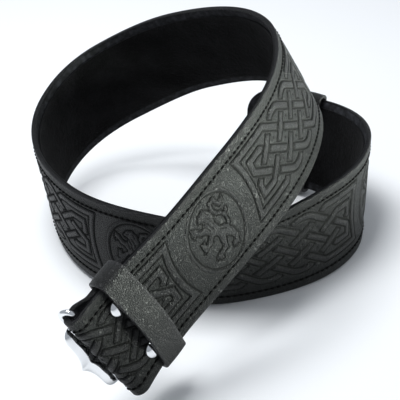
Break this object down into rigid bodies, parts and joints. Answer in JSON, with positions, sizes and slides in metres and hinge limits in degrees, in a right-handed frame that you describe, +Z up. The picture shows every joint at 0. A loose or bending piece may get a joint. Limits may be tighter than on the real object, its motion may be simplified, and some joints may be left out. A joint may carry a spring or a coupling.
{
  "type": "kilt belt",
  "caption": "Black leather kilt belt, embossed with knotwork and lion ovals, coiled on its edge with its chrome buckle swung behind the folded strap end.",
  "frame": {"origin": "under the middle of the belt's bounding box, on the surface that it stands on", "axes": "+Z up, +Y away from the buckle end, along the coil's longer side; +X to the right seen from the buckle end"},
  "size_m": [0.2016, 0.257, 0.1259],
  "materials": {
    "embossed_leather": "dyed black, fine grain, soft sheen",
    "plain_leather": "dyed black, plain grain, soft sheen",
    "fuzzy_lining": "matt black brushed loop",
    "chrome": "polished"
  },
  "bodies": {
    "belt": {"strap": "embossed_leather", "lining": "fuzzy_lining", "buckle_keeper": "plain_leather", "tail_keeper": "plain_leather", "rivet_1": "chrome", "rivet_2": "chrome"},
    "buckle": {"buckle": "chrome"}
  },
  "joints": [
    {"name": "buckle_bar", "type": "hinge", "parent": "belt", "child": "buckle", "pos_m": [-0.04727, -0.11985, 0.03982], "axis": [0.4749, 0.1116, -0.8729], "range_deg": [-170, 0]}
  ]
}
